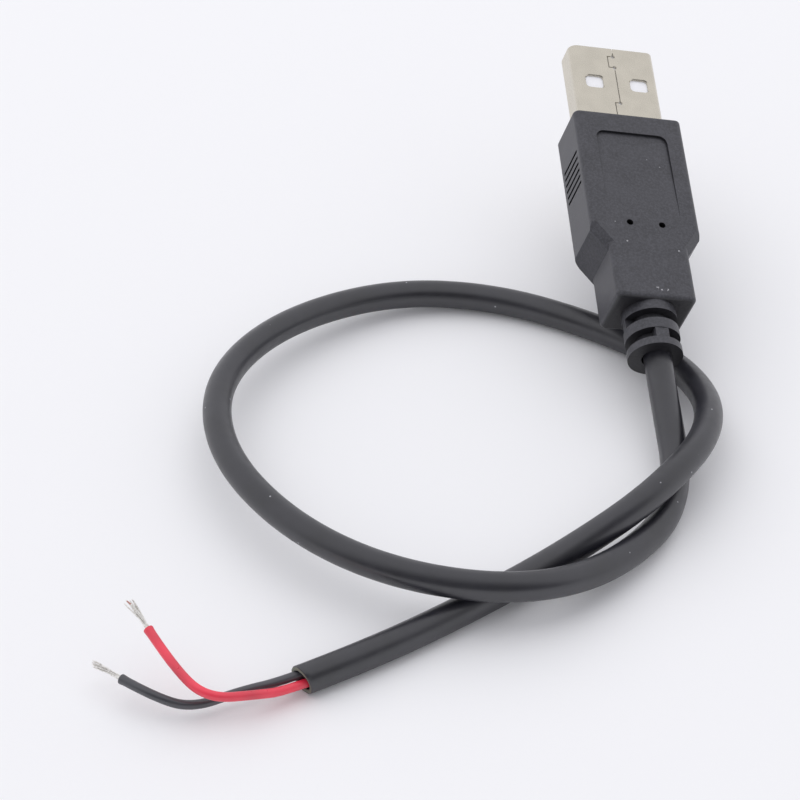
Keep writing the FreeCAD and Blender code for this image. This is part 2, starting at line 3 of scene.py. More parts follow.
import bpy
import numpy as np
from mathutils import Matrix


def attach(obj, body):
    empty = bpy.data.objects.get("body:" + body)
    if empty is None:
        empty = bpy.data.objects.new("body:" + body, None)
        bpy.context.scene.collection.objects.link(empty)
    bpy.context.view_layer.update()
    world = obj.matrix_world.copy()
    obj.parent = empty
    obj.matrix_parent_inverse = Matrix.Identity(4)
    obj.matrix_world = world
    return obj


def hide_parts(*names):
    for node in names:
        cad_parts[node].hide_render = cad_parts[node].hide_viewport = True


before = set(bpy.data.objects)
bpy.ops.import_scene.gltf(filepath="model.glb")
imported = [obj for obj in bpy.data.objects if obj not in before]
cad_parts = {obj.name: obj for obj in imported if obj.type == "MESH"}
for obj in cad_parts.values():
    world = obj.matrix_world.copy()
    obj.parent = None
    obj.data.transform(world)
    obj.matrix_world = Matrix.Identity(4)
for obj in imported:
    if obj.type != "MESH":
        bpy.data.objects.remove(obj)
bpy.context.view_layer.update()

# The looks of a short power lead: a flat plug with a folded steel shell on a charcoal moulding, a
# round two-core cord in one loop, and a cut far end with a red and a black wire stripped for
# soldering. Metres, in the CAD's own frame: origin at the centre of the plug's open end, +Y roughly
# along the plug towards that end, +X to its right and +Z up. The cord lies on a surface 21 mm lower.

bl_info = {
    "name": "Power cable looks",
    "version": (1, 0, 0),
    "blender": (4, 5, 0),
    "location": "3D View > Sidebar > Cable",
    "description": "Cord, wires, strands and finishes for the CAD model of a short power lead",
    "category": "Object",
}

MM = 0.001
SURFACE = -21 * MM
UP = np.array([0.0, 0.0, 1.0])

# Millimetres along the plug's own axis: where the cord leaves the strain relief, how much of it is
# inside the plug, and how far it first runs straight on
CORD_EXIT = 49.4
JACKET_HIDDEN = 22.8
JACKET_FIRST_RUN = 5.0

# How the two cores sit in the jacket's cut end, in millimetres, and their lean in degrees
CORE_SEAT = 10.0
CORE_SPREAD = 0.6
CORE_LEAN = 35.0
WIRE_FIRST_RUN = 2.0

# The same control points as the CAD's routes: right, away, and height above the surface
CORD_ROUTE = [
    (6.2, -68.5, 1.8), (-2.3, -80.9, 2.9), (-13.9, -88.1, 5.7), (-28.9, -85.6, 6.0),
    (-41.3, -77.2, 6.0), (-50.0, -64.1, 5.9), (-51.3, -49.8, 5.5), (-44.1, -37.1, 4.5),
    (-30.4, -27.9, 2.6), (-16.0, -27.6, 1.8), (-2.1, -34.2, 1.8), (8.8, -42.8, 1.8),
    (11.2, -58.6, 6.1), (2.9, -72.1, 6.9), (-8.9, -79.1, 2.7), (-20.8, -87.2, 1.8),
    (-31.6, -94.3, 1.8), (-39.1, -98.3, 1.8),
]
RED_ROUTE = [
    (-44.2, -101.8, 3.0), (-49.2, -103.6, 4.3), (-52.9, -100.2, 4.8), (-56.5, -94.6, 6.2),
]
BLACK_ROUTE = [
    (-45.9, -100.1, 1.9), (-51.3, -102.4, 1.5), (-55.5, -102.2, 3.1), (-59.4, -99.2, 2.9),
]

# Light marks rubbed into the moulding: middle and half size in the plug's axes, in millimetres, and
# the value that a noise passes where the mark shows
RUB_MARKS = [
    ((-0.7, 41.3, 3.9), (0.9, 0.25, 0.3), 0.58),
    ((-3.91, 34.97, 3.9), (0.1, 0.1, 0.3), 0.0),
    ((3.0, 34.1, 3.9), (0.1, 0.1, 0.3), 0.3),
]
PARTING_LINE = ((2.75, 49.4, 0), (0.9, 0.3, 0.05))

# The jacket's cut: how ragged its edge is and the length that leans with it, in millimetres, and the
# share of the slant by which its middle stands out
RAGGED, SLANT_RUN, SLANT_MIDDLE = 0.02, 6, 0.15

# Millimetres on a wire: rise and length of the flare at its cut end, height of its oval and the
# length over which that turns by one radian, and the gap between the conductor and its hole
FLARE, FLARE_RUN = 0.05, 0.5
OVAL, OVAL_RUN = 0.012, 7
HOLE_GAP = 0.02

# Rings in the quarter round at the edge of a cut tube, and the angle past which an edge looks sharp
RIM_RINGS = 3
SHARP_ANGLE = math.radians(40)

# A strand's start behind the insulation's end and its bow, in millimetres, its twist in radians, the
# power with which it opens out, and the angle from one strand to the next that fills a disc evenly
STRAND_SEAT, STRAND_BOW, STRAND_TWIST, STRAND_OPENS = 1.0, 0.10, 1.9, 1.6
GOLDEN_ANGLE = math.pi * (3 - math.sqrt(5))

# Nearly all of a noise lies between the first two values, and its broad middle between the others
NOISE = {"From Min": 0.3, "From Max": 0.7}
CLOUD = {"From Min": 0.35, "From Max": 0.65}

# The stage in metres and degrees: the floor's half width, the lamp, and the camera that matches the
# photograph's view, with its lens and sensor in millimetres
FLOOR_HALF = 4.0
LAMP_PLACE = (-0.3, 0.65, 1.3)
LAMP_AIM = (-0.02, -0.05, SURFACE)
LAMP_WIDTH, LAMP_HEIGHT = 3.0, 2.4
EYE_PLACE = (-0.02808, -0.3114, 0.20084)
EYE_TILT = 50
LENS, SENSOR = 121.5, 36

# The room turns from dark to pale between these shares of a direction that point away, and up
AWAY = {"From Min": -0.55, "From Max": -0.2}
DOWN = {"From Min": 0.3, "From Max": 0.16}


def linear(colour):
    """sRGB hex to linear: the channel over 12.92 when dark, or ((c + 0.055) / 1.055) to the 2.4."""
    c = np.array([int(colour[i:i + 2], 16) for i in (1, 3, 5)]) / 255
    return tuple(np.where(c <= 0.04045, c / 12.92, ((c + 0.055) / 1.055) ** 2.4).tolist())


def colour_value(name, description, colour):
    """A colour that a user can change, from its sRGB hex value."""
    return bpy.props.FloatVectorProperty(
        name=name, description=description, subtype="COLOR", min=0, max=1, default=linear(colour))


def length_value(name, description, millimetres):
    """A size that a user can change, given in millimetres."""
    return bpy.props.FloatProperty(
        name=name, description=description, default=millimetres * MM, min=0, unit="LENGTH",
        precision=5)


class CordValues(bpy.types.PropertyGroup):
    diameter: length_value("Diameter", "Outside of the round jacket", 3.6)
    wall: length_value("Wall", "Thickness of the jacket, as its cut end shows it", 0.55)
    flute: length_value("Flute", "How far the jacket follows the cores and fillers under it", 0.022)
    lay: length_value("Lay", "Length over which the cores turn once round each other", 240.0)
    lean: length_value("Lean", "How far to the right the cord leaves the strain relief", 0.3)
    bore: length_value("Bore", "How far the cut end can be looked into", 9.0)
    slant: length_value("Slant", "How far the cut leans back from its far to its near side", 0.8)
    slant_turn: bpy.props.FloatProperty(
        name="Slant turn", description="Where round the cord the cut stands furthest out",
        default=math.radians(20), subtype="ANGLE")
    roughness: bpy.props.FloatProperty(
        name="Roughness", description="Satin of the extruded skin", default=0.34, min=0, max=1)
    colour: colour_value("Colour", "Charcoal of the flexible PVC", "#1f1f26")
    cut_colour: colour_value("Cut face", "Greyer face that the side cutter leaves", "#74786d")


class WireValues(bpy.types.PropertyGroup):
    diameter: length_value("Diameter", "Outside of one insulated core", 1.1)
    bundle: length_value("Bundle", "Radius of the conductor inside the insulation", 0.32)
    red: colour_value("Red", "Insulation of the positive core", "#df2d46")
    black: colour_value("Black", "Insulation of the negative core", "#3b3b41")
    stripped: length_value("Stripped length", "Bare strands beyond the insulation", 4.6)
    strand: length_value("Strand", "Diameter of one strand", 0.17)
    strand_count: bpy.props.IntProperty(
        name="Strands", description="Strands in one conductor", default=9, min=3, max=24)
    strand_colour: colour_value("Tin", "Tinned copper, dulled by handling", "#f8f6f2")
    copper: colour_value("Copper", "Bare end of a strand where it was cut", "#c98f86")


class PlugValues(bpy.types.PropertyGroup):
    yaw: bpy.props.FloatProperty(
        name="Yaw", description="Turn of the plug to the left", default=math.radians(5),
        subtype="ANGLE")
    pitch: bpy.props.FloatProperty(
        name="Pitch", description="Rise towards the open end", default=math.radians(16.5),
        subtype="ANGLE")
    roll: bpy.props.FloatProperty(
        name="Roll", description="Lean to the right", default=math.radians(13.5), subtype="ANGLE")
    nickel: colour_value("Nickel", "Warm grey of dull nickel plate", "#d3cdbf")
    insulator: colour_value("Insulator", "White of the contact carrier", "#f6f6fa")
    moulding: colour_value("Moulding", "Charcoal of the moulded body", "#39393e")
    gilt: colour_value("Gilt", "Thin gold over nickel on the contacts", "#d8b15c")
    natural: colour_value("Inner mould", "Milky natural polyethylene", "#dcdad0")


class StageValues(bpy.types.PropertyGroup):
    floor: colour_value("Floor", "Pale paper that the lead lies on", "#f4f4f6")
    key: bpy.props.FloatProperty(
        name="Key", description="Power of the wide lamp behind and above", default=15.0, min=0,
        unit="POWER")
    fill: bpy.props.FloatProperty(
        name="Fill", description="Brightness of the pale room, as it is seen and mirrored",
        default=0.94, min=0)
    front: bpy.props.FloatProperty(
        name="Front", description="Share of that brightness high up in front", default=1 / 6, min=0,
        max=1)
    even: bpy.props.FloatProperty(
        name="Even", description="Brightness of the room that lights dull surfaces, even all round",
        default=0.79, min=0)


def row_points(route):
    """Points given as right, away and height above the surface, in metres in the row frame."""
    return np.array(route) * MM + UP * SURFACE


def plug_turn():
    """Rotation matrix of the plug: half a turn about Z, then its roll, pitch and yaw."""
    values = bpy.context.scene.cable_plug

    def about(axis, angle):
        c, s = math.cos(angle), math.sin(angle)
        turn = np.eye(3)
        i, j = [k for k in range(3) if k != axis]
        turn[i, i], turn[j, j] = c, c
        turn[i, j], turn[j, i] = (-s, s) if axis != 1 else (s, -s)
        return turn
    return about(2, values.yaw) @ about(0, values.pitch) @ about(1, values.roll) @ about(2, math.pi)


def plug_point(back):
    """Point on the plug's axis that many millimetres behind its open end."""
    return plug_turn() @ np.array([0, back, 0]) * MM


def unit(vectors):
    """Each vector over its own length."""
    return vectors / np.linalg.norm(vectors, axis=-1, keepdims=True)


def around(sides):
    """Angles of that many points spread evenly round a ring."""
    return np.arange(sides) / sides * 2 * math.pi


def smooth_line(route):
    """Points close together on the quadratic NURBS curve whose control points are the route's."""
    curve = bpy.data.curves.new("route", "CURVE")
    curve.dimensions = "3D"
    spline = curve.splines.new("NURBS")
    spline.points.add(len(route) - 1)
    spline.points.foreach_set("co", np.c_[route, np.ones(len(route))].ravel())
    spline.order_u = 3
    spline.use_endpoint_u = True
    spline.resolution_u = 24
    holder = bpy.data.objects.new("route", curve)
    mesh = bpy.data.meshes.new_from_object(holder)
    points = np.zeros(len(mesh.vertices) * 3)
    mesh.vertices.foreach_get("co", points)
    bpy.data.meshes.remove(mesh)
    bpy.data.objects.remove(holder)
    bpy.data.curves.remove(curve)
    return points.reshape(-1, 3)


def lengths(line):
    """Length along a line up to each of its points: the running sum of its steps."""
    return np.r_[0, np.cumsum(np.linalg.norm(np.diff(line, axis=0), axis=1))]


def stations(line, at):
    """Centre, side, up and along at given lengths: side = along x Z, and up = side x along."""
    run = lengths(line)
    centre = np.stack([np.interp(at, run, line[:, k]) for k in range(3)], axis=-1)
    slope = unit(np.gradient(line, axis=0))
    along = unit(np.stack([np.interp(at, run, slope[:, k]) for k in range(3)], axis=-1))
    side = unit(np.cross(along, UP))
    return centre, side, np.cross(side, along), along


def ring_faces(rows, sides):
    """Quads between rings of points, and fans of triangles to the points before and after them."""
    ring = 1 + np.arange(rows * sides).reshape(rows, sides)
    following = np.roll(ring, -1, axis=1)
    quads = np.stack([ring[:-1], ring[1:], following[1:], following[:-1]], axis=-1).reshape(-1, 4)
    start = np.stack([np.zeros(sides, int), ring[0], following[0]], axis=-1)
    end = np.stack([np.full(sides, 1 + rows * sides), following[-1], ring[-1]], axis=-1)
    return quads, np.concatenate([start, end])


def sweep(line, at, radius, sides, shift=0.0):
    """P(s, a) = C(s) + r(s, a) (cos a side + sin a up) + d(s, a) along, with a closing point at each
    end, where C is the line and side, up and along are its frame there."""
    angle = around(sides)
    centre, side, up, along = stations(line, at)
    radius = np.broadcast_to(radius, (len(at), sides))[..., None]
    shift = np.broadcast_to(shift, (len(at), sides))[..., None]
    rings = centre[:, None] + radius * (np.cos(angle)[:, None] * side[:, None]
                                        + np.sin(angle)[:, None] * up[:, None])
    rings = rings + shift * along[:, None]
    points = np.concatenate([centre[:1], rings.reshape(-1, 3), rings[-1:].mean(axis=1)])
    return points, ring_faces(len(at), sides)


def cut_tube(total, rows, outside, rim, wall_middle, hole, depths):
    """Lengths and radii of a cut tube's rings: along the outside, a quarter round of the rim's
    radius, one on the flat cut and one at each depth down the hole. The third value returned is how
    many rings the outside has."""
    turn = np.linspace(0, math.pi / 2, RIM_RINGS + 1)[1:]
    at = np.r_[np.linspace(0, total - rim, rows), total - rim + rim * np.sin(turn), total,
               total - depths]
    radius = np.r_[np.full(rows, outside), outside - rim * (1 - np.cos(turn)), wall_middle,
                   np.full(len(depths), hole)]
    return at, radius, rows + RIM_RINGS


def new_piece(name, points, faces, materials, replaced):
    """Mesh object from whole arrays, riding on the root body in place of the nodes it replaces."""
    mesh = bpy.data.meshes.new(name)
    mesh.from_pydata(points.tolist(), [], [f for kind in faces for f in kind.tolist()])
    mesh.validate()
    mesh.shade_smooth()
    mesh.set_sharp_from_angle(angle=SHARP_ANGLE)
    for material in materials:
        mesh.materials.append(material)
    piece = bpy.data.objects.new(name, mesh)
    bpy.context.scene.collection.objects.link(piece)
    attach(piece, "root")
    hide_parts(*replaced)
    return piece


def add(tree, kind, inputs=None, output=0, **settings):
    """Adds one shader node with its settings, gives each input a value or a link, and returns the
    output of that name or number. A Mix node of colours takes its share at input 0 and the colours at
    6 and 7, and gives output 2; one of plain values takes them at 2 and 3, and gives output 0."""
    made = tree.nodes.new("ShaderNode" + kind)
    for key, value in settings.items():
        setattr(made, key, value)
    for key, value in (inputs or {}).items():
        socket = made.inputs[key]
        if isinstance(value, bpy.types.NodeSocket):
            tree.links.new(value, socket)
        else:
            socket.default_value = (*value, 1) if socket.type == "RGBA" else value
    return None if output is None else made.outputs[output]


def new_material(name, **values):
    """A material with one Principled shader, whose sockets get the plain values."""
    material = bpy.data.materials.new(name)
    material.use_nodes = True
    shader = material.node_tree.nodes["Principled BSDF"]
    for key, value in values.items():
        socket = shader.inputs[key.replace("_", " ")]
        socket.default_value = (*value, 1) if socket.type == "RGBA" else value
    return material, material.node_tree, shader


def per(millimetres):
    """Texture scale on coordinates in metres at which one feature has that size."""
    return 1 / (millimetres * MM)


def shaded(colour, share):
    """A colour made that many times as bright."""
    return tuple(min(1.0, c * share) for c in colour)


def plug_place(tree):
    """Object coordinates turned into the plug's own axes: Y back from its open end, Z out of the seam
    face. They are the row's coordinates with its yaw, pitch, roll and half turn undone, in that
    order."""
    pose = bpy.context.scene.cable_plug
    place = add(tree, "TexCoord", output="Object")
    for turn in ((0, 0, pose.yaw), (pose.pitch, 0, 0), (0, pose.roll, 0), (0, 0, math.pi)):
        place = add(tree, "Mapping", {"Vector": place, "Rotation": turn}, vector_type="TEXTURE")
    return place


def dust(tree, place, cell, radius, share, base, tint):
    """Base colour with specks of dust: in a share of Voronoi cells of that size, the part nearer
    than the radius to the cell's point takes the tint, with a soft outer edge. Millimetres. Real
    specks are smaller, and are drawn at about a pixel so that they show."""
    where = {"Vector": place, "Scale": per(cell), "Randomness": 1.0}
    near = add(tree, "MapRange", {
        "Value": add(tree, "TexVoronoi", where), "From Min": radius / cell,
        "From Max": 0.6 * radius / cell})
    number = add(tree, "SeparateColor", {"Color": add(tree, "TexVoronoi", where, "Color")})
    chosen = add(tree, "Math", {0: number, 1: share}, operation="LESS_THAN")
    mask = add(tree, "Math", {0: near, 1: chosen}, operation="MULTIPLY")
    return add(tree, "Mix", {0: mask, 6: base, 7: tint}, 2, data_type="RGBA")


def extruded_pvc(name, colour, roughness, gloss, grain=0.0025, specks=0.0):
    """Flexible PVC drawn over the cores: a satin skin that mirrors a pale room in soft bands, broken
    by a fine drawn grain that is so many millimetres high, cloudy lighter and darker stretches, and
    dust in that share of its cells."""
    material, tree, shader = new_material(
        name, Base_Color=colour, Roughness=roughness, IOR=1.53, Specular_IOR_Level=gloss)
    place = add(tree, "TexCoord", output="Object")
    cloud = add(tree, "TexNoise", {"Vector": place, "Scale": per(5), "Detail": 3})
    base = add(tree, "Mix", {
        0: add(tree, "MapRange", {"Value": cloud, **CLOUD}),
        6: shaded(colour, 0.85), 7: shaded(colour, 1.2)}, 2, data_type="RGBA")
    if specks:
        base = dust(tree, place, cell=2.3, radius=0.13, share=specks, base=base,
                    tint=linear("#a2a2a8"))
    tree.links.new(base, shader.inputs["Base Color"])
    rub = add(tree, "TexNoise", {"Vector": place, "Scale": per(1.4), "Detail": 4, "Roughness": 0.6})
    tree.links.new(add(tree, "MapRange", {
        "Value": rub, **NOISE, "To Min": roughness - 0.06, "To Max": roughness + 0.08}),
        shader.inputs["Roughness"])
    skin = add(tree, "TexNoise", {"Vector": place, "Scale": per(0.3), "Detail": 4, "Roughness": 0.6})
    tree.links.new(add(tree, "Bump", {"Height": skin, "Distance": grain * MM}),
                   shader.inputs["Normal"])
    return material


def finish_cad(node, *materials):
    """Gives a CAD node's material slots these materials."""
    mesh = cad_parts[node].data
    mesh.materials.clear()
    for material in materials:
        mesh.materials.append(material)


def wire_line(colour):
    """The smooth line of one wire, from inside the jacket's end to the end of its insulation."""
    end, before = row_points(CORD_ROUTE[-1:])[0], row_points(CORD_ROUTE[-2:-1])[0]
    along = unit(end - before)
    lean = math.radians(CORE_LEAN)
    aside = -np.cross(UP, along) * math.cos(lean) + UP * math.sin(lean)
    sign, tail = (-1, RED_ROUTE) if colour == "red" else (1, BLACK_ROUTE)
    offset = aside * sign * CORE_SPREAD * MM
    first = [end - along * CORE_SEAT * MM + offset, end + along * WIRE_FIRST_RUN * MM + offset]
    return smooth_line(np.concatenate([first, row_points(tail)]))


class CABLE_OT_cord(bpy.types.Operator):
    """Round jacket from inside the plug to its cut end, fluted over the cores, its wall showing"""
    bl_idname = "cable.cord"
    bl_label = "Cord jacket"

    def execute(self, context):
        values = context.scene.cable_cord
        # The cord leans on the right of the strain relief's bore, as the photograph shows it
        lean = np.array([values.lean, 0, 0])
        start, leave = plug_point(CORD_EXIT - JACKET_HIDDEN), plug_point(CORD_EXIT) + lean
        straight = plug_point(CORD_EXIT + JACKET_FIRST_RUN) + lean
        line = smooth_line(np.concatenate([[start, leave, straight], row_points(CORD_ROUTE)]))
        total, outside, wall = lengths(line)[-1], values.diameter / 2, values.wall
        rows, sides, rim = 560, 72, 0.1 * MM
        depths = np.r_[0.15 * MM, np.linspace(0.5 * MM, values.bore, 8)]
        at, radius, edge = cut_tube(
            total, rows, outside, rim, outside - wall + rim / 2, outside - wall, depths)
        angle, ring = around(sides), np.arange(len(at))[:, None]
        # Three broad flutes and five shallower ones that wander slowly round the cord, as the cores
        # and fillers under the skin are twisted
        lay = at[:, None] / values.lay * 2 * math.pi
        flute = values.flute * (np.cos(3 * angle + lay + 0.4) + 0.7 * np.cos(5 * angle - 0.6 * lay))
        ragged = RAGGED * MM * (np.sin(5 * angle + 1.3) + np.sin(11 * angle))
        # The cutter went through aslant: the end stands out most on one side, and less and less over
        # the last stretch before it
        slant = values.slant * (SLANT_MIDDLE + 0.5 * np.cos(angle - values.slant_turn))
        share = np.clip((at - total) / (SLANT_RUN * MM) + 1, 0, 1)[:, None] ** 2
        points, faces = sweep(
            line, at, radius[:, None] + flute * (ring < edge) + ragged * (ring >= rows), sides,
            slant * share)
        jacket = extruded_pvc("black_flexible_pvc_extruded", tuple(values.colour),
                              roughness=values.roughness, gloss=0.9, specks=0.7)
        face = extruded_pvc("black_flexible_pvc_cut", tuple(values.cut_colour), roughness=0.7,
                            gloss=0.3, grain=0.05)
        # Painted shade: the bore and the disc that closes it are darker than the jacket's own
        # charcoal, and duller
        bore_shade = extruded_pvc("jacket_bore_painted_shade", linear("#17161b"), roughness=0.7, gloss=0.2)
        piece = new_piece("cord_jacket_skin", points, faces, [jacket, face, bore_shade],
                          ["cord_jacket"])
        # The two rows of faces after the rounded edge are the cut, and what follows is the bore
        row = np.r_[np.arange(len(faces[0])) // sides, np.zeros(sides, int), np.full(sides, len(at))]
        which = np.where(row < edge - 1, 0, np.where(row < edge + 1, 1, 2))
        piece.data.polygons.foreach_set("material_index", which.astype(np.int32))
        plug_point(CORD_EXIT)
        return {"FINISHED"}


class CABLE_OT_wires(bpy.types.Operator):
    """Red and black insulated cores beyond the jacket's cut end, each end cut back to its strands"""
    bl_idname = "cable.wires"
    bl_label = "Wires"

    def execute(self, context):
        values = context.scene.cable_wires
        for colour, tint in (("red", tuple(values.red)), ("black", tuple(values.black))):
            line = wire_line(colour)
            total, outside, bore = lengths(line)[-1], values.diameter / 2, values.bundle
            rows, sides, rim = 140, 40, 0.06 * MM
            depths = np.r_[rim, np.linspace(0.2 * MM, 1.2 * MM, 4)]
            at, radius, _ = cut_tube(
                total, rows, outside, rim, bore + rim / 2, bore + HOLE_GAP * MM, depths)
            # The stripper squeezes the outside a little wider just before the cut
            flare = FLARE * MM * np.exp(-((total - at) / (FLARE_RUN * MM)) ** 2)
            flare *= radius > bore + rim
            # Slightly oval, with the oval turning along the wire
            lobes = OVAL * MM * np.cos(2 * around(sides) + at[:, None] / (OVAL_RUN * MM))
            points, faces = sweep(line, at, (radius + flare)[:, None] + lobes, sides)
            skin = extruded_pvc(f"{colour}_pvc_insulation", tint, roughness=0.33, gloss=0.85)
            piece = new_piece(f"{colour}_wire_skin", points, faces, [skin],
                              [f"{colour}_wire"])
        return {"FINISHED"}


class CABLE_OT_strands(bpy.types.Operator):
    """Tinned strands of both wires, lightly twisted and opened out, one with a bare copper end"""
    bl_idname = "cable.strands"
    bl_label = "Strands"

    def execute(self, context):
        values = context.scene.cable_wires
        # Tinned copper, hard drawn: bright pale metal with duller patches where it was handled
        tin, tree, shader = new_material(
            "tinned_copper_drawn", Base_Color=tuple(values.strand_colour), Metallic=1.0,
            Roughness=0.4)
        worn = add(tree, "TexNoise", {
            "Vector": add(tree, "TexCoord", output="Object"), "Scale": per(0.25), "Detail": 3})
        tree.links.new(add(tree, "MapRange", {"Value": worn, **NOISE, "To Min": 0.28, "To Max": 0.5}),
                       shader.inputs["Roughness"])
        tree.links.new(add(tree, "Mix", {
            0: add(tree, "MapRange", {"Value": worn, "From Min": 0.4, "From Max": 0.75}),
            6: tuple(values.strand_colour), 7: linear("#d2cec8")}, 2, data_type="RGBA"),
            shader.inputs["Base Color"])
        # Copper at a fresh cut: the tin stops short and leaves a dull pink end
        copper, _, _ = new_material(
            "copper_cut_end", Base_Color=tuple(values.copper), Metallic=1.0, Roughness=0.4)
        count, sides, rows = values.strand_count, 12, 26
        angle, number, t = around(sides), np.arange(count), np.linspace(0, 1, rows)
        seat = STRAND_SEAT * MM
        # Each wire, the seed of its random draws, and how wide its strands open out
        for colour, seed, wide in (("red", 3, 0.7), ("black", 8, 0.35)):
            line = wire_line(colour)
            tip, aim = line[-1], unit(line[-1] - line[-2])
            across = unit(np.cross(aim, UP))
            rise = np.cross(across, aim)
            random = np.random.default_rng(seed)
            phase = number * GOLDEN_ANGLE + random.uniform(-0.2, 0.2, count)
            # Even spread over the bundle's section: radius goes with the square root of the number
            foot = np.sqrt(number / count) * (values.bundle - values.strand / 2)
            fan = foot * (1 + wide * random.uniform(1.0, 3.2, count))
            far = values.stripped * random.uniform(0.86, 1.0, count)
            # A strand runs from t = 0 in the insulation to t = 1 at its tip. With z its length beyond
            # the insulation and u = z / stripped, at least 0, its middle is
            # tip + aim z + across (R cos w + b) + rise R sin w, where R = foot + (fan - foot) u^1.6,
            # w is its phase plus the twist times t, and b is the bow times u sin(3 t + phase)
            z = -seat + (far[:, None] + seat) * t
            open_share = np.clip(z / values.stripped, 0, 1)
            reach = foot[:, None] + (fan - foot)[:, None] * open_share ** STRAND_OPENS
            turn = phase[:, None] + STRAND_TWIST * t
            bow = STRAND_BOW * MM * np.sin(3 * t + phase[:, None]) * open_share
            centre = (tip + z[..., None] * aim
                      + (reach * np.cos(turn) + bow)[..., None] * across
                      + (reach * np.sin(turn))[..., None] * rise)
            slope = unit(np.gradient(centre, axis=1))
            side = unit(np.cross(slope, rise))
            upward = np.cross(side, slope)
            # The last ring is smaller, which rounds the strand's end
            radius = values.strand / 2 * np.where(t < 1, 1.0, 0.7)
            rings = centre[:, :, None] + radius[None, :, None, None] * (
                np.cos(angle)[:, None] * side[:, :, None]
                + np.sin(angle)[:, None] * upward[:, :, None])
            points = np.concatenate(
                [centre[:, :1], rings.reshape(count, -1, 3), centre[:, -1:]], axis=1)
            quads, fans = ring_faces(rows, sides)
            step = np.arange(count)[:, None, None] * points.shape[1]
            faces = ((quads + step).reshape(-1, 4), (fans + step).reshape(-1, 3))
            piece = new_piece(f"{colour}_strand_bundle", points.reshape(-1, 3), faces,
                              [tin, copper], [f"{colour}_strands"])
            if colour == "red":
                # The last three rows of faces of one strand are bare copper
                which = np.zeros(len(piece.data.polygons), np.int32)
                ring = np.arange(count * len(quads)).reshape(count, rows - 1, sides)
                which[ring[count - 1, -3:].ravel()] = 1
                piece.data.polygons.foreach_set("material_index", which)
        return {"FINISHED"}


class CABLE_OT_shell(bpy.types.Operator):
    """Nickel-plated folded shell, the white insulator seen through its windows, and gilt contacts"""
    bl_idname = "cable.shell"
    bl_label = "Plug shell and contacts"

    def execute(self, context):
        values = context.scene.cable_plug
        # Dull nickel on rolled steel strip: warm grey, soft reflections drawn out along the strip. The
        # rolling lines are much finer, and are drawn 0.12 mm wide and 17 times as long so they show
        nickel, tree, shader = new_material(
            "dull_nickel_plate_on_steel_strip", Base_Color=tuple(values.nickel), Metallic=1.0,
            Roughness=0.34)
        place = plug_place(tree)
        drawn = add(tree, "TexNoise", {
            "Vector": add(tree, "Mapping", {"Vector": place, "Scale": (1, 0.06, 1)}),
            "Scale": per(0.12), "Detail": 3, "Roughness": 0.6})
        smear = add(tree, "TexNoise", {"Vector": place, "Scale": per(2.4), "Detail": 3})
        tree.links.new(add(tree, "Mix", {
            0: add(tree, "MapRange", {"Value": smear, **CLOUD}),
            6: shaded(values.nickel, 0.96), 7: shaded(values.nickel, 1.03)}, 2, data_type="RGBA"),
            shader.inputs["Base Color"])
        tree.links.new(
            add(tree, "MapRange", {"Value": drawn, **NOISE, "To Min": 0.24, "To Max": 0.31}),
            shader.inputs["Roughness"])
        tree.links.new(add(tree, "Bump", {"Height": drawn, "Distance": 0.0004 * MM}),
                       shader.inputs["Normal"])
        finish_cad("plug_shell", nickel)
        # White PBT, moulded: hard satin plastic, a little cool, with a faint moulded grain
        insulator, tree, shader = new_material(
            "white_pbt_moulded", Base_Color=tuple(values.insulator), Roughness=0.45, IOR=1.55)
        grain = add(tree, "TexNoise", {
            "Vector": add(tree, "TexCoord", output="Object"), "Scale": per(0.2), "Detail": 3})
        tree.links.new(add(tree, "Bump", {"Height": grain, "Distance": 0.004 * MM}),
                       shader.inputs["Normal"])
        tree.links.new(
            add(tree, "MapRange", {"Value": grain, **NOISE, "To Min": 0.38, "To Max": 0.52}),
            shader.inputs["Roughness"])
        finish_cad("contact_carrier", insulator)
        # Flash gold on stamped bronze: yellow, bright, with fine lines drawn along each strip
        gilt, tree, shader = new_material(
            "gold_flash_on_stamped_bronze", Base_Color=tuple(values.gilt), Metallic=1.0,
            Roughness=0.25)
        lines = add(tree, "TexNoise", {
            "Vector": add(tree, "Mapping", {"Vector": plug_place(tree), "Scale": (1, 0.05, 1)}),
            "Scale": per(0.08), "Detail": 2})
        tree.links.new(
            add(tree, "MapRange", {"Value": lines, **NOISE, "To Min": 0.18, "To Max": 0.35}),
            shader.inputs["Roughness"])
        for name in ("vbus", "data_minus", "data_plus", "ground"):
            finish_cad(f"{name}_contact", gilt)
        return {"FINISHED"}


def inside_box(tree, place, centre, half):
    """One where a place in the plug's axes is in a box: its largest distance from the middle, each
    over the box's half size that way, is under one. Millimetres."""
    scaled = add(tree, "Mapping", {
        "Vector": place, "Location": [c * MM for c in centre], "Scale": [h * MM for h in half]},
        vector_type="TEXTURE")
    apart = add(tree, "VectorMath", {0: scaled}, operation="ABSOLUTE")
    x, y, z = (add(tree, "SeparateXYZ", {0: apart}, axis) for axis in "XYZ")
    largest = add(tree, "Math", {0: x, 1: y}, operation="MAXIMUM")
    largest = add(tree, "Math", {0: largest, 1: z}, operation="MAXIMUM")
    return add(tree, "Math", {0: largest, 1: 1.0}, operation="LESS_THAN")


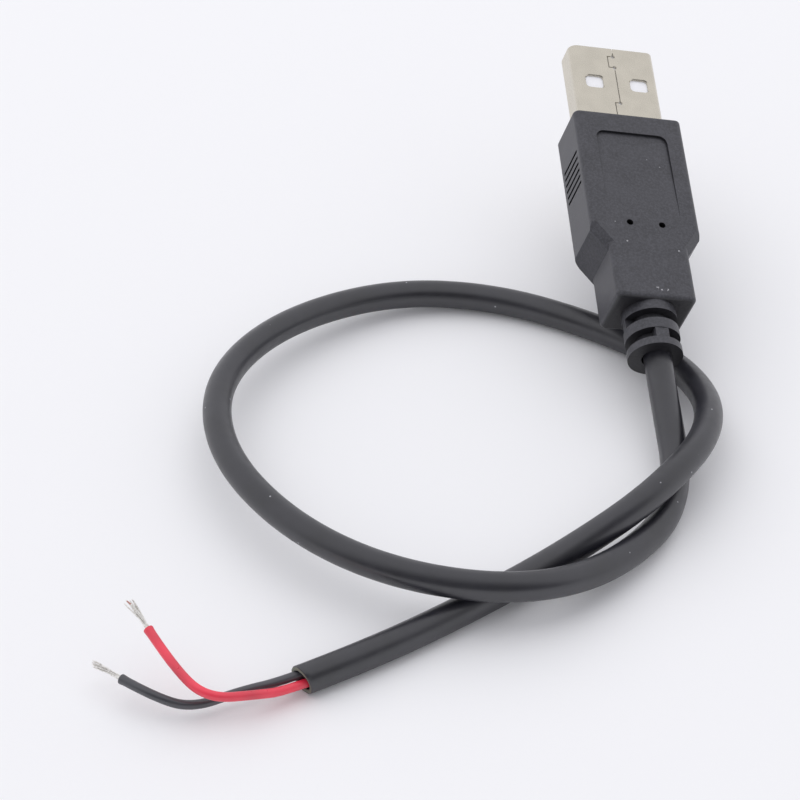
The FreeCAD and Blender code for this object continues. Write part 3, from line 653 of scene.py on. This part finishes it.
class CABLE_OT_moulding(bpy.types.Operator):
    """Charcoal moulded body and strain relief, spark-textured, with light rub marks on its edges, and
    painted shade in its hollows and on its rear faces
    """
    bl_idname = "cable.moulding"
    bl_label = "Moulding"

    def execute(self, context):
        values = context.scene.cable_plug
        colour = tuple(values.moulding)
        # Flexible PVC moulded in a spark-eroded tool: even, nearly dull skin with a fine grain, drawn
        # about twice as coarse as the real one so that it shows
        pvc, tree, shader = new_material(
            "black_pvc_moulded_spark_grain", Base_Color=colour, Roughness=0.6, IOR=1.53,
            Specular_IOR_Level=0.5)
        place = plug_place(tree)
        grain = add(tree, "TexNoise", {
            "Vector": place, "Scale": per(0.32), "Detail": 4, "Roughness": 0.75})
        cloud = add(tree, "TexNoise", {"Vector": place, "Scale": per(3.0), "Detail": 4})
        base = add(tree, "Mix", {
            0: add(tree, "MapRange", {"Value": cloud, **CLOUD}),
            6: shaded(colour, 0.85), 7: shaded(colour, 1.1)}, 2, data_type="RGBA")
        base = add(tree, "Mix", {
            0: add(tree, "MapRange", {"Value": grain, "From Min": 0.42, "From Max": 0.66,
                                      "To Min": 0.0, "To Max": 0.6}),
            6: base, 7: shaded(colour, 2.2)}, 2, data_type="RGBA")
        rub = add(tree, "TexNoise", {"Vector": place, "Scale": per(0.35), "Detail": 2})
        for centre, half, low in RUB_MARKS:
            broken = add(tree, "Math", {0: rub, 1: low}, operation="GREATER_THAN")
            mark = add(tree, "Math", {0: inside_box(tree, place, centre, half), 1: broken},
                       operation="MULTIPLY")
            base = add(tree, "Mix", {0: mark, 6: base, 7: linear("#a9a9ad")}, 2, data_type="RGBA")
        base = dust(tree, place, cell=1.9, radius=0.1, share=0.25, base=base,
                    tint=linear("#9b9ca0"))
        # Painted shade in the panel's step, the slots, the pin holes and the grip grooves, near black
        # where ambient occlusion finds them enclosed
        open_sky = add(tree, "AmbientOcclusion", {"Distance": 1.2 * MM}, "AO", samples=8)
        painted_shade_and_parting = add(tree, "MapRange", {
            "Value": open_sky, "From Min": 0.3, "From Max": 0.9, "To Min": 1.0, "To Max": 0.0})
        # Painted shade: faces that look back along the cord, away from the lamp, are made darker
        back = add(tree, "VectorMath", {
            0: add(tree, "NewGeometry", output="True Normal"), 1: plug_turn()[:, 1].tolist()},
            "Value", operation="DOT_PRODUCT")
        rear_shade = add(tree, "MapRange", {
            "Value": back, "From Min": 0.6, "From Max": 0.95, "To Min": 0.0, "To Max": 0.8})
        painted_shade_and_parting = add(tree, "Math", {0: painted_shade_and_parting, 1: rear_shade}, operation="MAXIMUM")
        # The parting line shows on the end of the strain relief
        parting = inside_box(tree, place, *PARTING_LINE)
        painted_shade_and_parting = add(tree, "Math", {0: painted_shade_and_parting, 1: parting}, operation="MAXIMUM")
        base = add(tree, "Mix", {0: painted_shade_and_parting, 6: base, 7: linear("#0b0a0e")}, 2, data_type="RGBA")
        tree.links.new(base, shader.inputs["Base Color"])
        tree.links.new(add(tree, "MapRange", {
            "Value": grain, "From Min": 0.25, "From Max": 0.75, "To Min": 0.36, "To Max": 0.52}),
            shader.inputs["Roughness"])
        tree.links.new(add(tree, "Bump", {"Height": grain, "Distance": 0.03 * MM}),
                       shader.inputs["Normal"])
        finish_cad("overmould", pvc)
        # Natural polyethylene, low-pressure moulded: waxy, milky and slightly clear
        natural, tree, shader = new_material(
            "natural_polyethylene_moulded", Base_Color=tuple(values.natural), Roughness=0.5, IOR=1.51,
            Transmission_Weight=0.15)
        wax = add(tree, "TexNoise", {
            "Vector": add(tree, "TexCoord", output="Object"), "Scale": per(0.8), "Detail": 3})
        tree.links.new(add(tree, "Bump", {"Height": wax, "Distance": 0.03 * MM}),
                       shader.inputs["Normal"])
        finish_cad("inner_mould", natural)
        return {"FINISHED"}


class CABLE_OT_inside(bpy.types.Operator):
    """Leads, their stripped ends and the solder drops, all inside the moulding"""
    bl_idname = "cable.inside"
    bl_label = "Leads and solder"

    def execute(self, context):
        values = context.scene.cable_wires
        # Lead-free solder, reflowed: bright grey skin, finely frosted
        solder, tree, shader = new_material(
            "tin_copper_solder_reflowed", Base_Color=linear("#c4c3c2"), Metallic=1.0, Roughness=0.3)
        frost = add(tree, "TexNoise", {
            "Vector": add(tree, "TexCoord", output="Object"), "Scale": per(0.1), "Detail": 3})
        tree.links.new(
            add(tree, "MapRange", {"Value": frost, **NOISE, "To Min": 0.22, "To Max": 0.42}),
            shader.inputs["Roughness"])
        tree.links.new(add(tree, "Bump", {"Height": frost, "Distance": 0.005 * MM}),
                       shader.inputs["Normal"])
        # Twisted tinned strands inside the plug: bright metal broken by the lay of the strands
        tinned, tree, shader = new_material(
            "tinned_copper_twisted", Base_Color=tuple(values.strand_colour), Metallic=1.0,
            Roughness=0.35)
        lay = add(tree, "TexWave", {
            "Vector": plug_place(tree), "Scale": per(1.2), "Distortion": 1.0}, "Fac",
            bands_direction="DIAGONAL")
        tree.links.new(add(tree, "Bump", {"Height": lay, "Distance": 0.03 * MM}),
                       shader.inputs["Normal"])
        for colour, tint in (("red", tuple(values.red)), ("black", tuple(values.black))):
            finish_cad(f"{colour}_lead",
                       extruded_pvc(f"{colour}_pvc_lead", tint, roughness=0.36, gloss=0.5))
            finish_cad(f"{colour}_lead_conductor", tinned)
            finish_cad(f"{colour}_solder_joint", solder)
        return {"FINISHED"}


class CABLE_OT_stage(bpy.types.Operator):
    """Pale floor, one wide lamp behind and above, a pale room, and the photograph's camera"""
    bl_idname = "cable.stage"
    bl_label = "Stage"

    def execute(self, context):
        values = context.scene.cable_stage
        floor = bpy.data.meshes.new("floor")
        corners = [(-FLOOR_HALF, -FLOOR_HALF), (FLOOR_HALF, -FLOOR_HALF), (FLOOR_HALF, FLOOR_HALF),
                   (-FLOOR_HALF, FLOOR_HALF)]
        floor.from_pydata([(x, y, SURFACE) for x, y in corners], [], [(0, 1, 2, 3)])
        # Matt paper: an even pale sheet with a barely raised fibre grain
        paper, tree, shader = new_material(
            "matt_backdrop_paper", Base_Color=tuple(values.floor), Roughness=0.9,
            Specular_IOR_Level=0.2)
        fibre = add(tree, "TexNoise", {
            "Vector": add(tree, "TexCoord", output="Object"), "Scale": per(0.6), "Detail": 2})
        tree.links.new(add(tree, "Bump", {"Height": fibre, "Distance": 0.01 * MM}),
                       shader.inputs["Normal"])
        floor.materials.append(paper)
        plane = bpy.data.objects.new("floor", floor)
        context.scene.collection.objects.link(plane)
        lamp = bpy.data.lights.new("key", "AREA")
        lamp.shape, lamp.energy = "RECTANGLE", values.key
        lamp.size, lamp.size_y = LAMP_WIDTH, LAMP_HEIGHT
        soft = bpy.data.objects.new("key", lamp)
        soft.location = LAMP_PLACE
        # Gloss shows the room alone: a lamp in front of it would add to it there, and clip the shell
        soft.visible_glossy = False
        back = unit(np.array(soft.location) - np.array(LAMP_AIM))
        soft.rotation_euler = (math.acos(back[2]), 0, math.atan2(back[0], -back[1]))
        context.scene.collection.objects.link(soft)
        world = bpy.data.worlds.new("white_room")
        world.use_nodes = True
        tree = world.node_tree
        tree.nodes.clear()
        # The camera, gloss and clear plastic show the same room: pale at the horizon and behind the
        # lead, and darker high up in front, on the camera's side
        way = add(tree, "TexCoord", output="Generated")
        behind = add(tree, "MapRange", {"Value": add(tree, "SeparateXYZ", {0: way}, "Y"), **AWAY})
        low = add(tree, "MapRange", {"Value": add(tree, "SeparateXYZ", {0: way}, "Z"), **DOWN})
        pale = add(tree, "Math", {0: behind, 1: low}, operation="MAXIMUM")
        shown = add(tree, "MapRange", {
            "Value": pale, "To Min": values.fill * values.front, "To Max": values.fill})
        camera, glossy, clear = (add(tree, "LightPath", output=f"Is {kind} Ray")
                                 for kind in ("Camera", "Glossy", "Transmission"))
        seen = add(tree, "Math", {0: camera, 1: glossy}, operation="MAXIMUM")
        seen = add(tree, "Math", {0: seen, 1: clear}, operation="MAXIMUM")
        strength = add(tree, "Mix", {0: seen, 2: values.even, 3: shown})
        lit = add(tree, "Background", {"Color": linear("#f6f6fa"), "Strength": strength})
        add(tree, "OutputWorld", {"Surface": lit}, None)
        context.scene.world = world
        view = bpy.data.cameras.new("photograph")
        view.sensor_width, view.lens, view.sensor_fit = SENSOR, LENS, "HORIZONTAL"
        view.clip_start, view.clip_end = 0.01, 20
        eye = bpy.data.objects.new("photograph", view)
        eye.location = EYE_PLACE
        eye.rotation_euler = (math.radians(EYE_TILT), 0, 0)
        context.scene.collection.objects.link(eye)
        context.scene.camera = eye
        context.scene.view_settings.view_transform = "Standard"
        return {"FINISHED"}


class CABLE_PT_panel(bpy.types.Panel):
    """Lists the pieces of the lead and their values"""
    bl_idname = "CABLE_PT_panel"
    bl_label = "Power cable"
    bl_space_type = "VIEW_3D"
    bl_region_type = "UI"
    bl_category = "Cable"

    def draw(self, context):
        for step in STEPS:
            self.layout.operator(step.bl_idname)
        for group, _ in VALUES:
            values = getattr(context.scene, group)
            for key in values.__annotations__:
                self.layout.prop(values, key)


STEPS = [CABLE_OT_strands, CABLE_OT_wires, CABLE_OT_cord, CABLE_OT_shell, CABLE_OT_moulding,
         CABLE_OT_inside, CABLE_OT_stage]
VALUES = [("cable_cord", CordValues), ("cable_wires", WireValues), ("cable_plug", PlugValues),
          ("cable_stage", StageValues)]


def register():
    """Adds the value groups, the operators and the panel to Blender."""
    for name, group in VALUES:
        bpy.utils.register_class(group)
        setattr(bpy.types.Scene, name, bpy.props.PointerProperty(type=group))
    for thing in [*STEPS, CABLE_PT_panel]:
        bpy.utils.register_class(thing)


def unregister():
    """Takes them away again."""
    for thing in [CABLE_PT_panel, *reversed(STEPS)]:
        bpy.utils.unregister_class(thing)
    for name, group in reversed(VALUES):
        delattr(bpy.types.Scene, name)
        bpy.utils.unregister_class(group)


def main():
    """Builds every piece and the stage."""
    register()
    for step in STEPS:
        family, name = step.bl_idname.split(".")
        getattr(getattr(bpy.ops, family), name)()


if __name__ == "__main__":
    main()
